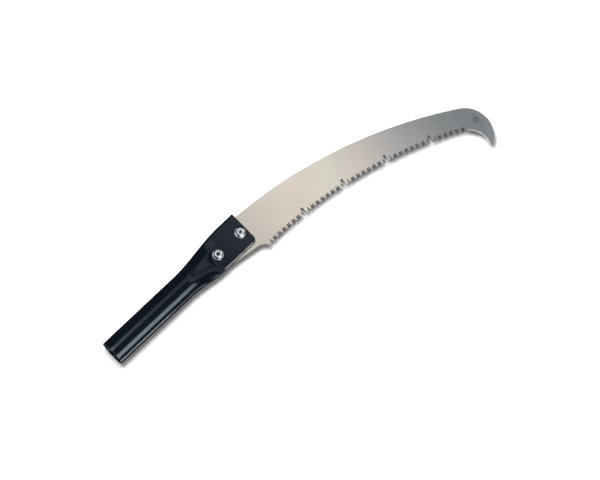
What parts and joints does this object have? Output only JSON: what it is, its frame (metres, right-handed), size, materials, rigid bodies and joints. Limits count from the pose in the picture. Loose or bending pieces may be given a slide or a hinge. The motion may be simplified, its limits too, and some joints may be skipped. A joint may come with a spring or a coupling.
{
  "type": "pole saw head",
  "caption": "Pole saw head: a black tube socket pressed flat into a jaw that holds a curved, hooked pruning blade with two bolts, washers and lock nuts.",
  "frame": {"origin": "centre of the socket's mouth, on the axis of its round bore", "axes": "+X along the tube from its mouth towards the blade; +Z square to the blade's face, on the side of the nuts; the teeth face -Y"},
  "size_m": [0.6291, 0.1838, 0.0382],
  "materials": {
    "black_paint": "gloss black enamel over steel tube",
    "blade_steel": "satin ground and hard-chromed blade steel",
    "zinc_plate": "bright zinc plate",
    "nylon": "translucent pale nylon"
  },
  "bodies": {
    "root": {"socket": "black_paint", "blade": "blade_steel", "front_bolt": "zinc_plate", "rear_bolt": "zinc_plate", "front_head_washer": "zinc_plate", "rear_head_washer": "zinc_plate", "front_nut_washer": "zinc_plate", "rear_nut_washer": "zinc_plate", "front_lock_nut": "zinc_plate", "rear_lock_nut": "zinc_plate", "front_nylon_ring": "nylon", "rear_nylon_ring": "nylon"}
  },
  "joints": []
}
